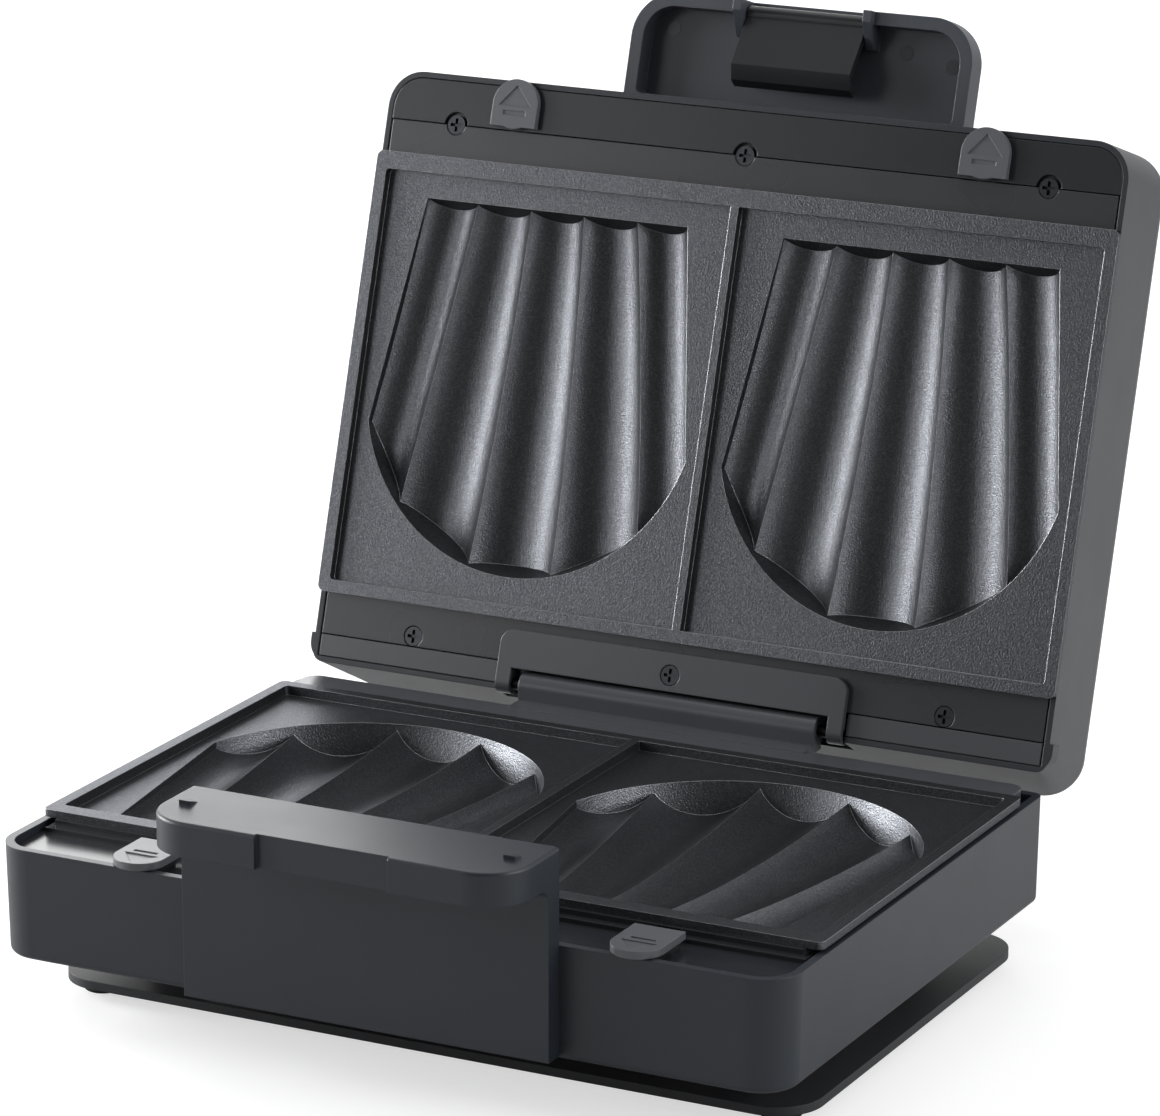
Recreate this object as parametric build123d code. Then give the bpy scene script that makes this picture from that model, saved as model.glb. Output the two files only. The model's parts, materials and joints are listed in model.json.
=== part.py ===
from build123d import *
from math import cos, radians, sin, tan
import os

os.makedirs("parts", exist_ok=True)

# All sizes are in millimetres. X is to the right, Y to the back, Z up from the table.

# Base body
body_w = 285.0
body_d = 204.0
corner_r = 13.0
rear_r = 4.0
shell_h = 37.8
shell_wall = 3.0
shell_draft = 0.9
seam = 0.4
fit = 0.3

# Foot stack below the body
foot_h = 4.0
foot_r = 7.0
wrap_t = 3.0
wrap_gap = 14.0
wrap_side = 5.5
wrap_front = 25.0
wrap_rear = 2.0
wrap_lip = 24.0
wrap_r = 16.0
wrap_post_r = 9.0
cover_t = 2.5
screw_len = 12.0
screw_r = 1.5

# Cooking plates
plate_side = 1.2
plate_front = 30.0
plate_rear = 16.0
plate_proud = 3.6
lip_t = 2.6
tub_wall = 1.6
tub_inset = 2.7
rim_front = 6.3
rim_rear = 4.4
floor_drop = 3.5
floor_t = 2.2
divider = 3.0

# Shell moulds in the plates
mould_edge = 6.9
mould_flare = 11.4
mould_front = 15.0
mould_rear = 14.0
mould_side = 48.0
mould_draft = 7.0
end_draft = 22.0
mould_wall = 2.2
fan_reach = 219.0
fan_step = 5.41
flute_front = 7.4
flute_far = 10.6
ridge_front = 1.2
ridge_far = 1.8
flute_sag = 1.85
side_r = 11.2
side_in = 10.2
side_lift = 4.6
side_sag = 0.9
flute_over = 12.0
element_clear = 0.15

# Lid
lid_side = 1.5
lid_front_gap = 0.7
lid_rear_over = 9.0
lid_lean = 9.0
cheek_t = 1.4
cheek_h = 6.0
lid_h = 50.0
lid_wall = 2.0
lid_top_r = 12.0
lid_draft = 2.0
open_deg = 107.6
trim_t = 2.6
front_trim_d = 17.6
rear_seam = 1.0
screw_front_in = 26.0
screw_rear_in = 37.0

# Hinge
hinge_back = 6.4
hinge_up = 4.0
barrel_r = 4.9
barrel_hw = 56.7
leg_gap = 4.2
leg_w = 5.5
pin_r = 2.0
run_gap = 0.05
press_gap = 0.01
bracket_d = 18.9
bracket_raise = 2.4

# Handles and latch
handle_w = 131.2
apron_t = 7.3
shelf_reach = 33.4
shelf_t = 11.3
shelf_top_up = 28.5
shelf_r = 16.0
latch_w = 45.8
recess_t = 1.8
bolt_in = 5.0
bolt_head = 1.6
tray_reach = 38.7
tray_up = 35.2
tray_h = 11.0
tray_wall = 4.6
tray_floor = 3.0
latch_rest = 26.0
latch_pin_r = 1.2
knuckle_r = 2.8
spring_r = 1.65
spring_wire = 0.3
spring_len = 9.0
latch_hook = 7.4
ear_t = 3.2

# Release tabs
tab_in = 53.0
tab_w = 17.6
tab_t = 2.5
tab_out = 1.9
tab_travel = 4.0
stem_w = 8.0
mark_t = 0.4

# Heaters
panel_drop = 2.7
panel_t = 2.6
rail_w = 3.6
sheet = 0.8
element_r = 3.2
element_in = 38.6
element_front = 17.0
element_rear = 17.0
element_gap = 18.0
clip_gap = 2.5
saddle_in = 24.0
saddle_hw = 5.0
saddle_hd = 4.0
lug_x = 14.0
lug_hw = 4.0
fuse_x = 36.0
fuse_len = 18.0
wire_turn = 30.0
gland_in = 46.5
gland_flange = 4.0
term_in = 30.0
term_back = 19.0
term_hw = 17.0
term_pitch = 10.0
vent_y = 34.0
vent_pitch = 9.0

# Heights and depths that follow from the sizes above
y_front = -body_d / 2
y_back = body_d / 2
z_wrap = foot_h
z_cover = foot_h + wrap_t + wrap_gap
z_rim = z_cover + shell_h
z_part = z_rim + plate_proud
z_lid = z_part + lip_t
z_top = z_lid + lid_h
z_panel = z_rim - panel_drop
z_ring = z_panel - panel_t
z_floor = z_part - floor_drop
hinge_y = y_back + hinge_back
hinge_z = z_part + hinge_up
in_w = body_w / 2 - shell_wall
in_front = y_front + shell_wall
in_back = y_back - shell_wall
plate_d = body_d - plate_front - plate_rear
plate_y0 = y_front + plate_front
plate_y1 = plate_y0 + plate_d
plate_w = body_w - 2 * plate_side
tub_hw = plate_w / 2 - tub_inset
ring_hw_in = tub_hw - rail_w
mould_x = tub_hw / 2 + 0.2
mould_side_hw = mould_x - mould_edge
mould_front_hw = mould_side_hw - mould_flare
mould_len = plate_d - mould_front - mould_rear
mould_side_y = mould_len - mould_side
element_x = tub_hw - element_in
tab_x = body_w / 2 - tab_in
lid_w = body_w - 2 * lid_side
leg_in = barrel_hw + leg_gap
leg_out = leg_in + leg_w
bracket_front = hinge_y - bracket_d
tub_y0 = plate_y0 + rim_front - tub_wall
tub_y1 = plate_y1 - rim_rear + tub_wall
mould_y0 = plate_y0 + mould_front
mould_y1 = mould_y0 + mould_len
ring_y0 = mould_y0 - mould_wall - 2.8
ring_y1 = mould_y1 + mould_wall + 3.8
riser_y = tub_y0 - 0.4
mould_deep = (flute_front + flute_far) / 2 + flute_sag + (flute_far - flute_front) ** 2 / (16 * flute_sag)
z_element = z_floor - mould_deep - mould_wall - element_clear - element_r
z_ref = z_element - element_r - clip_gap


# A box from its limits along each axis
def block(x0, x1, y0, y1, z0, z1):
    middle = Pos((x0 + x1) / 2, (y0 + y1) / 2, (z0 + z1) / 2)
    return middle * Box(x1 - x0, y1 - y0, z1 - z0)


# A flat outline, symmetric in X, with its own corner radius at front and rear
def outline(half_w, y0, y1, z, r_front=0.0, r_rear=0.0):
    face = Pos(0, (y0 + y1) / 2) * Rectangle(2 * half_w, y1 - y0)
    if r_front:
        face = fillet(face.vertices().group_by(Axis.Y)[0], r_front)
    if r_rear:
        face = fillet(face.vertices().group_by(Axis.Y)[-1], r_rear)
    return Pos(0, 0, z) * face


# A slab with that outline
def slab(half_w, y0, y1, z0, z1, r_front=0.0, r_rear=0.0):
    return extrude(outline(half_w, y0, y1, z0, r_front, r_rear), amount=z1 - z0, dir=(0, 0, 1))


# A rod along one axis, from a start point
def rod(x, y, z, radius, length, along):
    return Plane(origin=(x, y, z), z_dir=along) * Cylinder(
        radius, length, align=(Align.CENTER, Align.CENTER, Align.MIN)
    )


# A round tube or wire along rounded straight runs
def tube(points, radius, bend):
    path = FilletPolyline(*points, radius=bend)
    section = Plane(origin=path @ 0, z_dir=path % 0) * Circle(radius)
    return sweep(section, path=path)


# A prism along X from a profile of Y and Z points
def prism_x(points, x0, x1):
    profile = make_face(Polyline(*[(0, y, z) for y, z in points], close=True))
    return Pos(x0, 0, 0) * extrude(profile, amount=x1 - x0, dir=(1, 0, 0))


# A copy of a base piece turned over about the plane where the plates meet
def flipped(piece):
    return mirror(piece, about=Plane.XY.offset(z_part))


# A lid piece, drawn closed, swung open about the hinge as it stands in the photograph
def opened(piece):
    return piece.rotate(Axis((0, hinge_y, hinge_z), (1, 0, 0)), -open_deg)


# A pan head screw with a cross slot, its head against a face, pointing along Z
def screw(x, y, z, head_r, head_h, shank_r, length, way):
    head = rod(x, y, z, head_r, head_h, (0, 0, way))
    shank = rod(x, y, z + way * head_h, shank_r, length, (0, 0, way))
    arm = head_r * 0.68
    width = head_r * 0.32
    slot = Box(2 * arm, width, 1.8 * head_h) + Box(width, 2 * arm, 1.8 * head_h)
    return head + shank - Pos(x, y, z) * slot


# Keep one named piece, or a group of separate solids that share a name
pieces = {}


def save(name, *solids):
    pieces[name] = solids


# Base shell: side walls with a rim, two ledges for the frame, four screw posts
base_solid = loft([
    outline(body_w / 2 - shell_draft, y_front, y_back, z_cover, corner_r, rear_r).face(),
    outline(body_w / 2, y_front, y_back, z_rim, corner_r, rear_r).face(),
])
base_solid = fillet(base_solid.edges().group_by(Axis.Z)[0], 2.4)
in_r = corner_r - shell_wall
base_inside = loft([
    outline(in_w - shell_draft, in_front, in_back, z_cover, in_r, 1.0).face(),
    outline(in_w, in_front, in_back, z_rim, in_r, 1.0).face(),
])
base_shell = base_solid - base_inside
ledge_w = 7.0
ledge_t = 3.0
post_x = in_w - 12.0
post_r = 4.5
post_ys = (in_front + post_r + 1.0, in_back - post_r - 1.0)
ledges = block(-in_w, in_w, in_front - 1.0, in_front + ledge_w, z_ring - ledge_t, z_ring)
ledges += block(-in_w, in_w, in_back - ledge_w, in_back + 1.0, z_ring - ledge_t, z_ring)
base_shell += ledges & base_solid
posts = [(x, y) for x in (-post_x, post_x) for y in post_ys]
for x, y in posts:
    base_shell += rod(x, y, z_cover + cover_t, post_r, z_ring - ledge_t - z_cover - cover_t, (0, 0, 1))
    base_shell -= rod(x, y, z_cover + cover_t - 0.1, screw_r + run_gap, screw_len + 2.0, (0, 0, 1))
gland_x = body_w / 2 - gland_in
gland_z = z_cover + 13.0
gland_r = 6.0
base_shell -= rod(gland_x, in_back - 1.0, gland_z, gland_r + seam / 2, shell_wall + 2.0, (0, 1, 0))
handle_bolts = (-handle_w / 2 + 18.0, handle_w / 2 - 18.0)
bolt_z = z_cover + 16.0
for x in handle_bolts:
    base_shell -= rod(x, y_front - 1.0, bolt_z, 1.7, shell_wall + 2.0, (0, 1, 0))
save("base_shell", base_shell)

# Bottom cover inside the shell, with vent slots
cover_hw = in_w - shell_draft - fit
bottom_cover = slab(cover_hw, in_front + fit, in_back - fit, z_cover, z_cover + cover_t, in_r, 1.0)
for row in (-1, 1):
    for i in range(-4, 5):
        vent = block(i * vent_pitch - 1.6, i * vent_pitch + 1.6, row * vent_y - 12, row * vent_y + 12,
                     z_cover - 1, z_cover + 5)
        bottom_cover -= vent
for x, y in posts:
    bottom_cover -= rod(x, y, z_cover - 1.0, 1.7, cover_t + 2.0, (0, 0, 1))
    bottom_cover -= rod(x, y, z_cover - 1.0, 3.2, 2.2, (0, 0, 1))
wrap_hw = body_w / 2 - wrap_side
wrap_y0 = y_front + wrap_front
wrap_y1 = y_back - wrap_rear
wrap_post = wrap_lip + wrap_post_r
wrap_ys = (wrap_y0 + wrap_lip, wrap_y1 - wrap_post)
wrap_posts = [(x, y) for x in (-wrap_hw + wrap_post, wrap_hw - wrap_post) for y in wrap_ys]
for x, y in wrap_posts:
    bottom_cover -= rod(x, y, z_cover - 1.0, 1.7, cover_t + 2.0, (0, 0, 1))
save("bottom_cover", bottom_cover)
save("cover_screws", *[screw(x, y, z_cover - 0.4, 2.8, 1.6, screw_r, screw_len, 1) for x, y in posts])

# Cord wrap plate on four spacer posts below the cover
wrap_plate = slab(wrap_hw, wrap_y0, wrap_y1, z_wrap, z_wrap + wrap_t, wrap_r, wrap_r)
for x, y in wrap_posts:
    wrap_plate += rod(x, y, z_wrap + wrap_t - 1.0, wrap_post_r, wrap_gap + 1.0, (0, 0, 1))
    wrap_plate -= rod(x, y, z_wrap - 1.0, 1.7, wrap_t + wrap_gap + 2.0, (0, 0, 1))
    wrap_plate -= rod(x, y, z_wrap - 1.0, 3.4, 3.2, (0, 0, 1))
save("cord_wrap_plate", wrap_plate)
wrap_len = wrap_t + wrap_gap + cover_t
wrap_screws = [screw(x, y, z_wrap + 0.4, 3.0, 1.8, screw_r, wrap_len, 1) for x, y in wrap_posts]
save("wrap_screws", *wrap_screws)

# Rubber feet glued under the wrap plate
foot_in = 13.0
feet_x = wrap_hw - foot_in
feet_at = [(x, y) for x in (-feet_x, feet_x) for y in (wrap_y0 + foot_in, wrap_y1 - foot_in)]
feet = []
for x, y in feet_at:
    foot = rod(x, y, 0, foot_r, foot_h, (0, 0, 1))
    feet.append(fillet(foot.edges().group_by(Axis.Z)[0], 1.2))
save("rubber_feet", *feet)

# Base frame: front panel, thin side rails and the seat behind the front of the plate
frame_hw = in_w - seam
base_frame = slab(frame_hw, in_front + seam, in_back - seam, z_ring, z_panel, in_r - seam, 1.0)
base_frame -= block(-ring_hw_in, ring_hw_in, ring_y0, ring_y1, z_ring - 1, z_panel + 1)
riser_hw = tub_hw - 1.0
base_frame += block(-riser_hw, riser_hw, plate_y0 - 4.3, riser_y, z_panel - 1, z_panel + 1.7)
base_frame += block(-riser_hw + 2, riser_hw - 2, plate_y0 - 1.5, riser_y, z_panel - 1, z_part - lip_t)
for x in (-tab_x, tab_x):
    base_frame -= block(x - stem_w / 2 - fit, x + stem_w / 2 + fit, plate_y0 - 9, riser_y + 1,
                        z_panel, z_rim + 2 * fit)
save("base_frame", base_frame)

# Hinge carrier along the back of the frame, with the hinge barrel in its middle
carrier_hw = riser_hw - 0.6
carrier_top = z_lid - bracket_raise - 0.8
carrier_y0 = tub_y1 + 0.4
carrier = slab(carrier_hw, carrier_y0, in_back - seam, z_panel, carrier_top, 0, 5.0)
carrier -= block(-carrier_hw - 1, carrier_hw + 1, carrier_y0 - 1, plate_y1 + fit,
                 z_part - lip_t, carrier_top + 1)
arm_top = z_lid - bracket_raise - 0.4
carrier += block(-barrel_hw, barrel_hw, in_back - 3.0, hinge_y + 1.6, z_rim + 0.5, arm_top)
carrier += block(-barrel_hw, barrel_hw, hinge_y - barrel_r, hinge_y + 1.6, z_rim + 0.5, hinge_z)
carrier += rod(-barrel_hw, hinge_y, hinge_z, barrel_r, 2 * barrel_hw, (1, 0, 0))
pin_in = 14.0
for side in (-1, 1):
    carrier -= rod(side * (barrel_hw + 1), hinge_y, hinge_z, pin_r + run_gap, pin_in + 1.5,
                   (-side, 0, 0))
save("hinge_carrier", carrier)


# Mould outline at one depth: straight front edge, flaring sides and a round far end
def mould_outline(x, z, inset, end_inset):
    front = mould_y0 + end_inset
    side = mould_y0 + mould_side_y
    far = mould_y1 - end_inset
    a = (x - mould_front_hw + inset, front)
    b = (x + mould_front_hw - inset, front)
    c = (x + mould_side_hw - inset, side)
    d = (x - mould_side_hw + inset, side)
    edges = [Line(a, b), Line(b, c), ThreePointArc(c, (x, far), d), Line(d, a)]
    return Pos(0, 0, z) * make_face(edges)


# Height of a flute's middle line above the flat and its radius, from half the distance between two
# middle lines, the depth of the flute and the depth of the ridge between two flutes
def flute_section(half, deep, ridge):
    lift = (half ** 2 + ridge ** 2 - deep ** 2) / (2 * (deep - ridge))
    return lift, lift + deep


# Barrel that bows outwards by the sag half way along, longer than the mould at both ends
def barrel(r0, r1, sag):
    def edge(t):
        return (r0 + (r1 - r0) * t + sag * (1 - (2 * t - 1) ** 2), mould_len * t)
    over = flute_over / mould_len
    start, middle, end = edge(-over), edge(0.5), edge(1 + over)
    profile = make_face([
        Line((0, start[1]), start),
        ThreePointArc(start, middle, end),
        Line(end, (0, end[1])),
        Line((0, end[1]), (0, start[1])),
    ])
    return Rot(90, 0, 0) * revolve(profile, Axis.Y)


# One shell mould: three bowed flutes fanned from a point in front and one along each side, all kept
# inside the drafted outline. The bow lets the ridges dip in the middle and rise to the flat at both ends
def mould(x, grow):
    depth = 24.0
    top = z_floor - (0.5 if grow else 0.0)
    walls = loft([
        mould_outline(x, top, -grow, -grow).face(),
        mould_outline(x, top - depth, depth * tan(radians(mould_draft)) - grow,
                      depth * tan(radians(end_draft)) - grow).face(),
    ])
    half = tan(radians(fan_step / 2))
    lift0, r0 = flute_section(fan_reach * half, flute_front, ridge_front)
    lift1, r1 = flute_section((fan_reach + mould_len) * half, flute_far, ridge_far)
    flutes = []
    for k in (-1, 0, 1):
        turn = radians(k * fan_step)
        aim = Vector(mould_len * sin(turn), mould_len * cos(turn), lift1 - lift0).normalized()
        near = Vector(x + fan_reach * sin(turn), mould_y0 - fan_reach * (1 - cos(turn)), z_floor + lift0)
        flutes.append(Plane(origin=near, z_dir=aim) * barrel(r0 + grow, r1 + grow, flute_sag))
    for side in (-1, 1):
        aim = Vector(side * mould_flare, mould_side_y, 0).normalized()
        near = Vector(x + side * (mould_front_hw - side_in), mould_y0, z_floor + side_lift)
        flutes.append(Plane(origin=near, z_dir=aim) * barrel(side_r + grow, side_r + grow, side_sag))
    body = flutes[0]
    for flute in flutes[1:]:
        body += flute
    return body & walls


# Lower plate: flat lip, shallow tub with a divider, and two shell moulds
def make_plate():
    plate = slab(plate_w / 2, plate_y0, plate_y1, z_part - lip_t, z_part, 2.5, 2.5)
    plate += slab(tub_hw, tub_y0, tub_y1, z_floor - floor_t, z_part - 1.0, 3.0, 3.0)
    for side in (-1, 1):
        plate += mould(side * mould_x, mould_wall)
    recess = slab(tub_hw - tub_wall, tub_y0 + tub_wall, tub_y1 - tub_wall, z_floor, z_part + 1, 1.5, 1.5)
    recess -= block(-divider / 2, divider / 2, tub_y0, tub_y1, z_floor - 1, z_part + 2)
    plate -= recess
    for side in (-1, 1):
        plate -= mould(side * mould_x, 0.0)
    return plate


lower_plate = make_plate()
save("lower_plate", lower_plate)

# Lower heat tray, a pressed sheet hung under the frame
tray_hw = ring_hw_in
reflector = slab(tray_hw + 3.0, ring_y0 - 5.0, ring_y1 + 5.0, z_ring - sheet, z_ring)
reflector += slab(tray_hw + sheet, ring_y0 - sheet, ring_y1 + sheet, z_ref - sheet, z_ring - sheet)
reflector -= slab(tray_hw, ring_y0, ring_y1, z_ref, z_ring + 1)
end_y = mould_y1 - element_rear
for side in (-1, 1):
    reflector -= rod(side * element_gap, end_y, z_ref - 2, element_r + 0.5, 4, (0, 0, 1))
save("lower_heat_tray", reflector)

# Lower heating element, one bent rod whose two ends go down through the tray
ey0 = mould_y0 + element_front
ends_z = z_ref - 5.0
loop = [
    (element_gap, end_y, ends_z),
    (element_gap, end_y, z_element),
    (element_x, end_y, z_element),
    (element_x, ey0, z_element),
    (-element_x, ey0, z_element),
    (-element_x, end_y, z_element),
    (-element_gap, end_y, z_element),
    (-element_gap, end_y, ends_z),
]
element = tube(loop, element_r, 7.0)
save("lower_element", element)

# Four saddles that carry the element on the tray
saddles = []
for x in (-element_x, element_x):
    for y in (ey0 + saddle_in, end_y - saddle_in):
        saddle = block(x - saddle_hw, x + saddle_hw, y - saddle_hd, y + saddle_hd, z_ref, z_element)
        groove = rod(x, y - saddle_hw, z_element, element_r + run_gap, 2 * saddle_hw, (0, 1, 0))
        saddles.append(saddle - groove)
save("lower_element_saddles", *saddles)

# Thermostat and thermal fuse under the lower tray
stat_h = z_ref - sheet - z_cover - cover_t - 1.2
stat_y = -14.0
thermostat = rod(0, stat_y, z_ref - sheet - stat_h, 11.0, stat_h, (0, 0, 1))
for side in (-1, 1):
    thermostat += block(side * lug_x - lug_hw, side * lug_x + lug_hw, stat_y - 3, stat_y + 3,
                        z_ref - sheet - 3.0, z_ref - sheet - 1.8)
save("thermostat", thermostat)
fuse_z = z_ref - sheet - 2.5
fuse_y = stat_y + 22.0
fuse = rod(fuse_x, fuse_y, fuse_z, 2.4, fuse_len, (1, 0, 0))
fuse += block(fuse_x + 5, fuse_x + 11, fuse_y - 4, fuse_y + 4, fuse_z, z_ref - sheet)
save("thermal_fuse", fuse)

# Terminal block on the bottom cover, with three wire holes
term_x = gland_x - term_in
term_y = in_back - term_back
term_z = z_cover + cover_t
block_h = 8.5
terminals = block(term_x - term_hw, term_x + term_hw, term_y - 8, term_y + 8, term_z, term_z + block_h)
for i in (-1, 0, 1):
    terminals -= rod(term_x + i * term_pitch, term_y - 9, term_z + 3.4, 1.6, 18, (0, 1, 0))
    terminals -= rod(term_x + i * term_pitch, term_y, term_z + block_h - 1.2, 2.4, 4, (0, 0, 1))
save("terminal_block", terminals)

# Wires inside the base
wire_r = 1.3
low = term_z + 3.4
hot_x = term_x + term_pitch
wires = [
    tube([(gland_x - 2, in_back + 1, gland_z), (gland_x - 2, term_y + 12, gland_z),
          (gland_x - 2, term_y + 12, low), (hot_x, term_y + 12, low), (hot_x, term_y + 2, low)],
         wire_r, 1.6),
    tube([(hot_x, term_y - 3, low), (hot_x, fuse_y, low), (hot_x, fuse_y, fuse_z),
          (fuse_x + fuse_len + 0.2, fuse_y, fuse_z)], wire_r, 1.6),
    tube([(fuse_x - 0.2, fuse_y, fuse_z), (wire_turn, fuse_y, fuse_z), (wire_turn, stat_y, fuse_z),
          (lug_x + lug_hw + 0.2, stat_y, fuse_z)], wire_r, 2.0),
    tube([(-lug_x - lug_hw - 0.2, stat_y, fuse_z), (-wire_turn, stat_y, fuse_z),
          (-wire_turn, end_y, fuse_z - 1.2), (-element_gap - element_r - 0.3, end_y, fuse_z - 1.2)],
         wire_r, 2.0),
    tube([(term_x, term_y - 3, low), (term_x, end_y, low), (element_gap + element_r + 0.3, end_y, low)],
         wire_r, 2.0),
]
save("base_wiring", *wires)

# Cord gland, a bush in the back wall with its flange outside
gland = rod(gland_x, in_back - 2.0, gland_z, gland_r, shell_wall + 2.0, (0, 1, 0))
gland += rod(gland_x, y_back, gland_z, gland_r + 2.5, gland_flange, (0, 1, 0))
gland -= rod(gland_x, in_back - 3.0, gland_z, 3.6, shell_wall + gland_flange + 6.0, (0, 1, 0))
save("cord_gland", gland)

# Lower handle: an apron on the front of the shell and a shelf reaching forward
hw = handle_w / 2
shelf_top = z_part + shelf_top_up
shelf_low = shelf_top - shelf_t
apron_y = y_front - apron_t
profile = [
    (y_front, z_cover + 1.2),
    (y_front, shelf_top),
    (y_front - shelf_reach, shelf_top),
    (y_front - shelf_reach, shelf_low),
    (apron_y, shelf_low),
    (apron_y, z_cover + 1.2),
]
handle = prism_x(profile, -hw, hw)
front_edges = handle.edges().filter_by(Axis.Z).group_by(Axis.Y)[0]
handle = fillet(front_edges, shelf_r)
under = handle.edges().filter_by(Axis.X).filter_by_position(Axis.Z, shelf_low - 0.1, shelf_low + 0.1)
handle = fillet(under.group_by(Axis.Y)[-1], 5.0)
handle = fillet(handle.faces().sort_by(Axis.Z)[-1].outer_wire().edges().group_by(Axis.Y)[:-1][0], 1.2)
recess_hw = latch_w / 2 + 0.6
shelf_y = y_front - shelf_reach
handle -= block(-recess_hw, recess_hw, shelf_y - 1, shelf_y + recess_t, shelf_low - 1, shelf_top + 1)
rib = [(y_front - 18, shelf_top - 1), (y_front - 18, shelf_top + 1.6), (y_front - 10, shelf_top - 1)]
for x in (-hw + 8.0, hw - 8.0):
    handle += prism_x(rib, x - 2, x + 2)
for x in handle_bolts:
    handle -= rod(x, y_front + 1, bolt_z, screw_r + run_gap, bolt_in + 1.6, (0, -1, 0))
save("lower_handle", handle)
bolts = []
for x in handle_bolts:
    bolt = rod(x, in_front + bolt_head, bolt_z, 2 * screw_r, bolt_head, (0, -1, 0))
    bolts.append(bolt + rod(x, in_front, bolt_z, screw_r, shell_wall + bolt_in, (0, -1, 0)))
save("handle_screws", *bolts)

# Lid shell: drafted cover with a rounded top, open towards the plates
lid_y0 = y_front + lid_front_gap
lid_y1 = y_back + lid_rear_over
lid_hw = lid_w / 2
shoulder = z_top - lid_top_r - 0.5
top_r = lid_top_r + 2.0
lid_crown = outline(lid_hw - lid_draft, lid_y0, lid_y1 + lid_lean, shoulder, top_r, top_r)
lid_solid = loft([outline(lid_hw, lid_y0, lid_y1, z_lid, corner_r, rear_r).face(), lid_crown.face()])
lid_solid += extrude(lid_crown, amount=z_top - shoulder, dir=(0, 0, 1))
lid_solid = fillet(lid_solid.edges().group_by(Axis.Z)[-1], lid_top_r)
lid_in_hw = lid_hw - lid_wall
lid_in_y0 = lid_y0 + lid_wall
lid_in_y1 = lid_y1 - lid_wall
lid_in_r = corner_r - lid_wall
lid_ceiling = z_top - lid_wall - 1.0
in_r = top_r - lid_wall
in_crown = outline(lid_in_hw - lid_draft, lid_in_y0, lid_in_y1 + lid_lean, shoulder, in_r, in_r)
in_rim = outline(lid_in_hw, lid_in_y0, lid_in_y1, z_lid, lid_in_r, 0.6)
lid_inside = loft([in_rim.face(), in_crown.face()])
crown_in = lid_top_r / 2
lid_inside += loft([
    in_crown.face(),
    outline(lid_in_hw - lid_draft - crown_in, lid_in_y0 + crown_in, lid_in_y1 + lid_lean - crown_in,
            lid_ceiling, in_r / 2, in_r / 2).face(),
])
cheeks = slab(lid_hw + cheek_t, y_back - rear_seam, lid_y1, z_lid, z_lid + cheek_h, 0, 7.0)
lid_shell = lid_solid + cheeks - lid_inside
notch_top = hinge_z + barrel_r + 3.4
lid_shell -= block(-leg_out - 0.5, leg_out + 0.5, hinge_y - 6.0, lid_y1 + lid_lean, z_lid - 1, notch_top)
seam_y = lid_y0 + front_trim_d
lid_ring = z_part + (z_part - z_panel)
bar_top = lid_ring + panel_t
front_x = lid_in_hw - screw_front_in
rear_x = lid_in_hw - screw_rear_in
front_holes = [(x, seam_y) for x in (-front_x, 0.0, front_x)]
rear_holes = [(x, y_back - 4.7) for x in (-rear_x, 0.0, rear_x)]
boss_r = 4.0
for x, y in front_holes:
    lid_shell += rod(x, y, z_lid + trim_t, boss_r, lid_ceiling - z_lid - trim_t + 0.5, (0, 0, 1))
    lid_shell -= rod(x, y, z_lid, 1.55, trim_t + 16, (0, 0, 1))
for x, y in rear_holes:
    lid_shell += rod(x, y, bar_top, boss_r, lid_ceiling - bar_top + 0.5, (0, 0, 1))
    lid_shell -= rod(x, y, z_lid, 1.55, bar_top - z_lid + 14, (0, 0, 1))
save("lid_shell", opened(lid_shell))

# Lid front trim, flush with the rim, with slots for the tabs and half round screw recesses
trim_hw = lid_in_hw - fit
stem_y0 = lid_in_y0 + tab_travel + 1.5
stem_y1 = stem_y0 + 4.0
tooth_z = z_lid + trim_t + fit
front_trim = slab(trim_hw, lid_in_y0 + fit, seam_y - seam / 2, z_lid, z_lid + trim_t, lid_in_r - fit, 0)
for x in (-tab_x, tab_x):
    front_trim -= block(x - stem_w / 2 - fit, x + stem_w / 2 + fit, stem_y0 - tab_travel - fit, stem_y1 + fit,
                        z_lid - 1, z_lid + 9)
for x, y in front_holes:
    front_trim -= rod(x, y, z_lid - 1, 1.7, 9, (0, 0, 1))
    front_trim -= rod(x, y, z_lid - 1, 4.6, 2.8, (0, 0, 1))
save("lid_front_trim", opened(front_trim))

# Lid frame: front and rear bars flush with the rim, and side rails behind the plate
bar_hw = lid_in_hw - 0.7
rear_bar_y1 = y_back - rear_seam - seam / 2
lid_frame = slab(bar_hw, seam_y + seam / 2, rear_bar_y1, lid_ring, bar_top)
lid_frame -= block(-ring_hw_in, ring_hw_in, ring_y0, ring_y1, lid_ring - 1, bar_top + 1)
lid_frame += block(-bar_hw, bar_hw, seam_y + seam / 2, riser_y, z_lid, bar_top)
lid_frame += block(-bar_hw, bar_hw, carrier_y0, rear_bar_y1, z_lid, bar_top)
for x, y in front_holes:
    lid_frame -= rod(x, y, z_lid + trim_t, boss_r + fit, 9, (0, 0, 1))
    lid_frame -= rod(x, y, z_lid - 1, 1.7, 9, (0, 0, 1))
    lid_frame -= rod(x, y, z_lid - 1, 3.7, 2.8, (0, 0, 1))
for x, y in rear_holes:
    lid_frame -= rod(x, y, z_lid - 1, 1.7, 12, (0, 0, 1))
    if x:
        lid_frame -= rod(x, y, z_lid - 1, 3.7, 2.8, (0, 0, 1))
for x in (-tab_x, tab_x):
    lid_frame -= block(x - stem_w / 2 - fit, x + stem_w / 2 + fit, seam_y - 1, riser_y + 1,
                       tooth_z - fit, tooth_z + 2.5)
save("lid_frame", opened(lid_frame))

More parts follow.
